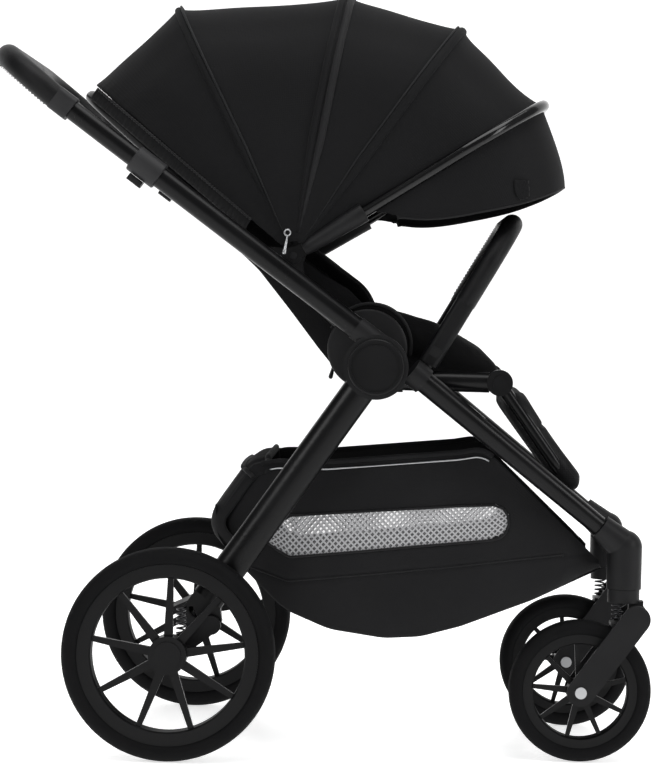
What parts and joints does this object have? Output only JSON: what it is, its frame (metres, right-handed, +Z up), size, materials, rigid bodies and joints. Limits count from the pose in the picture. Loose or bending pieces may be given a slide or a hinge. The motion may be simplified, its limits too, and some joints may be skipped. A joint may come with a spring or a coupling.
{
  "type": "baby stroller",
  "caption": "Folding four-wheel baby stroller with reclining seat, hooded canopy, bumper bar, swivelling front wheels and storage basket.",
  "frame": {"origin": "on the floor, under the middle of the stroller's overall box", "axes": "+X forward, +Y to the left, +Z up"},
  "size_m": [0.9225, 0.606, 1.0575],
  "materials": {
    "frame_tube": "satin black paint",
    "bow_rod": "black paint",
    "gloss_tube": "gloss black paint",
    "frame_plastic": "fine matt grain",
    "cap_plastic": "matt",
    "rim_plastic": "satin black",
    "tyre": "matt rubber",
    "steel": "brushed",
    "canopy_fabric": "fine plain weave",
    "basket_fabric": "plain weave with mesh sides",
    "seat_fabric": "fine plain weave",
    "webbing": "ribbed webbing",
    "grip_leather": "fine grain"
  },
  "bodies": {
    "front_frame": {"hub_housings": "frame_plastic", "hub_caps": "cap_plastic", "front_legs": "frame_tube", "caster_housings": "frame_plastic", "front_crossbar": "frame_plastic", "basket": "basket_fabric"},
    "handle_frame": {"handle_hub_shells": "frame_plastic", "handle_tubes": "frame_tube", "height_collars": "frame_plastic"},
    "handlebar": {"slider_tubes": "frame_tube", "grip_joints": "frame_plastic", "handle_grip": "grip_leather"},
    "rear_frame": {"rear_legs": "frame_tube", "rear_crossbar": "frame_tube"},
    "brake_pedal": {"brake_pedal": "frame_plastic"},
    "seat": {"seat_hubs": "frame_plastic", "seat_frame": "frame_tube", "seat_cushion": "seat_fabric", "harness_buckle": "frame_plastic"},
    "bumper": {"bumper_bar": "grip_leather"},
    "backrest": {"backrest_frame": "frame_tube", "backrest_pad": "seat_fabric", "harness_straps": "webbing", "canopy_brackets": "frame_plastic"},
    "calf_rest": {"calf_frame": "frame_tube", "calf_pad": "seat_fabric"},
    "canopy_rear": {"canopy_bow_rear": "bow_rod", "canopy_panel_rear": "canopy_fabric"},
    "canopy_middle": {"canopy_bow_middle": "bow_rod", "canopy_panel_crown": "canopy_fabric"},
    "canopy_forward": {"canopy_bow_forward": "bow_rod", "canopy_panel_forward": "canopy_fabric"},
    "canopy_front": {"canopy_front_bow": "gloss_tube", "canopy_panel_front": "canopy_fabric"},
    "visor": {"visor": "canopy_fabric"},
    "fold_trigger_right": {"fold_trigger_right": "frame_plastic"},
    "rear_arm_right": {"rear_arm_right": "frame_plastic", "rear_spring_right": "steel"},
    "rear_wheel_right": {"rear_tyre_right": "tyre", "rear_rim_right": "rim_plastic"},
    "caster_right": {"caster_stem_right": "frame_plastic"},
    "fork_right": {"fork_right": "frame_plastic", "front_axle_right": "steel", "fork_spring_right": "steel"},
    "front_wheel_right": {"front_tyre_right": "tyre", "front_rim_right": "rim_plastic"},
    "bumper_button_right": {"bumper_button_right": "frame_plastic"},
    "fold_trigger_left": {"fold_trigger_left": "frame_plastic"},
    "rear_arm_left": {"rear_arm_left": "frame_plastic", "rear_spring_left": "steel"},
    "rear_wheel_left": {"rear_tyre_left": "tyre", "rear_rim_left": "rim_plastic"},
    "caster_left": {"caster_stem_left": "frame_plastic"},
    "fork_left": {"fork_left": "frame_plastic", "front_axle_left": "steel", "fork_spring_left": "steel"},
    "front_wheel_left": {"front_tyre_left": "tyre", "front_rim_left": "rim_plastic"},
    "bumper_button_left": {"bumper_button_left": "frame_plastic"}
  },
  "joints": [
    {"name": "handle_fold", "type": "hinge", "parent": "front_frame", "child": "handle_frame", "pos_m": [0.07, 0, 0.54], "axis": [0, 1, 0], "range_deg": [0, 150]},
    {"name": "rear_leg_fold", "type": "hinge", "parent": "front_frame", "child": "rear_frame", "pos_m": [0.07, 0, 0.54], "axis": [0, 1, 0], "range_deg": [-55, 0]},
    {"name": "handle_height", "type": "slide", "parent": "handle_frame", "child": "handlebar", "axis": [-0.809, 0, 0.5878], "range_m": [-0.05, 0]},
    {"name": "brake_press", "type": "hinge", "parent": "rear_frame", "child": "brake_pedal", "pos_m": [-0.16751, 0, 0.20088], "axis": [0, 1, 0], "range_deg": [-18, 0]},
    {"name": "seat_lift", "type": "slide", "parent": "front_frame", "child": "seat", "axis": [0, 0, 1], "range_m": [0, 0.1]},
    {"name": "backrest_recline", "type": "hinge", "parent": "seat", "child": "backrest", "pos_m": [0.057, 0, 0.563], "axis": [0, 1, 0], "range_deg": [-25, 20]},
    {"name": "calf_adjust", "type": "hinge", "parent": "seat", "child": "calf_rest", "pos_m": [0.24, 0, 0.521], "axis": [0, 1, 0], "range_deg": [-50, 0]},
    {"name": "bumper_pull", "type": "slide", "parent": "seat", "child": "bumper", "axis": [0.5, 0, 0.866], "range_m": [0, 0.04]},
    {"name": "canopy_fold", "type": "hinge", "parent": "canopy_rear", "child": "canopy_middle", "pos_m": [-0.0475, 0, 0.689], "axis": [0, 1, 0], "range_deg": [-30, 0], "deforming": ["canopy_panel_crown"]},
    {"name": "canopy_rear_fold", "type": "hinge", "parent": "backrest", "child": "canopy_rear", "pos_m": [-0.0475, 0, 0.689], "axis": [0, 1, 0], "range_deg": [-14, 0], "deforming": ["canopy_panel_rear"]},
    {"name": "canopy_forward_fold", "type": "hinge", "parent": "canopy_middle", "child": "canopy_forward", "pos_m": [-0.0475, 0, 0.689], "axis": [0, 1, 0], "range_deg": [-18.5, 0], "deforming": ["canopy_panel_forward"]},
    {"name": "canopy_front_fold", "type": "hinge", "parent": "canopy_forward", "child": "canopy_front", "pos_m": [-0.0475, 0, 0.689], "axis": [0, 1, 0], "range_deg": [-12.2, 0], "deforming": ["canopy_panel_front"]},
    {"name": "visor_flip", "type": "hinge", "parent": "canopy_front", "child": "visor", "pos_m": [-0.0475, 0, 0.689], "axis": [0, 1, 0], "range_deg": [-12, 0], "deforming": ["visor"]},
    {"name": "fold_trigger_right", "type": "slide", "parent": "handle_frame", "child": "fold_trigger_right", "axis": [-0.809, 0, 0.5878], "range_m": [0, 0.008], "stiffness_N_per_m": 300, "springref_m": -0.004},
    {"name": "rear_suspension_right", "type": "hinge", "parent": "rear_frame", "child": "rear_arm_right", "pos_m": [-0.146, -0.24, 0.182], "axis": [0, 1, 0], "range_deg": [0, 6], "stiffness_Nm_per_rad": 12, "springref_deg": -20.05, "deforming": ["rear_spring_right"]},
    {"name": "rear_wheel_spin_right", "type": "hinge", "parent": "rear_arm_right", "child": "rear_wheel_right", "pos_m": [-0.201, -0.28, 0.145], "axis": [0, 1, 0], "continuous": true},
    {"name": "caster_swivel_right", "type": "hinge", "parent": "front_frame", "child": "caster_right", "pos_m": [0.419, -0.176, 0.24], "axis": [0, 0, 1], "continuous": true},
    {"name": "fork_suspension_right", "type": "hinge", "parent": "caster_right", "child": "fork_right", "pos_m": [0.436, -0.176, 0.201], "axis": [0, 1, 0], "range_deg": [0, 6], "stiffness_Nm_per_rad": 14, "springref_deg": -20.05, "deforming": ["fork_spring_right"]},
    {"name": "front_wheel_spin_right", "type": "hinge", "parent": "fork_right", "child": "front_wheel_right", "pos_m": [0.362, -0.176, 0.0983], "axis": [0, 1, 0], "continuous": true},
    {"name": "bumper_button_right", "type": "slide", "parent": "bumper", "child": "bumper_button_right", "axis": [0, 1, 0], "range_m": [0, 0.0017], "stiffness_N_per_m": 300, "springref_m": -0.001},
    {"name": "fold_trigger_left", "type": "slide", "parent": "handle_frame", "child": "fold_trigger_left", "axis": [-0.809, 0, 0.5878], "range_m": [0, 0.008], "stiffness_N_per_m": 300, "springref_m": -0.004},
    {"name": "rear_suspension_left", "type": "hinge", "parent": "rear_frame", "child": "rear_arm_left", "pos_m": [-0.146, 0.24, 0.182], "axis": [0, 1, 0], "range_deg": [0, 6], "stiffness_Nm_per_rad": 12, "springref_deg": -20.05, "deforming": ["rear_spring_left"]},
    {"name": "rear_wheel_spin_left", "type": "hinge", "parent": "rear_arm_left", "child": "rear_wheel_left", "pos_m": [-0.201, 0.28, 0.145], "axis": [0, 1, 0], "continuous": true},
    {"name": "caster_swivel_left", "type": "hinge", "parent": "front_frame", "child": "caster_left", "pos_m": [0.419, 0.176, 0.24], "axis": [0, 0, 1], "continuous": true},
    {"name": "fork_suspension_left", "type": "hinge", "parent": "caster_left", "child": "fork_left", "pos_m": [0.436, 0.176, 0.201], "axis": [0, 1, 0], "range_deg": [0, 6], "stiffness_Nm_per_rad": 14, "springref_deg": -20.05, "deforming": ["fork_spring_left"]},
    {"name": "front_wheel_spin_left", "type": "hinge", "parent": "fork_left", "child": "front_wheel_left", "pos_m": [0.362, 0.176, 0.0983], "axis": [0, 1, 0], "continuous": true},
    {"name": "bumper_button_left", "type": "slide", "parent": "bumper", "child": "bumper_button_left", "axis": [0, -1, 0], "range_m": [0, 0.0017], "stiffness_N_per_m": 300, "springref_m": -0.001}
  ],
  "couplings": [
    {"joint": "rear_leg_fold", "follows": "handle_fold", "ratio": -0.3665},
    {"joint": "canopy_rear_fold", "follows": "canopy_fold", "ratio": 0.46},
    {"joint": "canopy_forward_fold", "follows": "canopy_fold", "ratio": 0.6},
    {"joint": "canopy_front_fold", "follows": "canopy_fold", "ratio": 0.4}
  ]
}
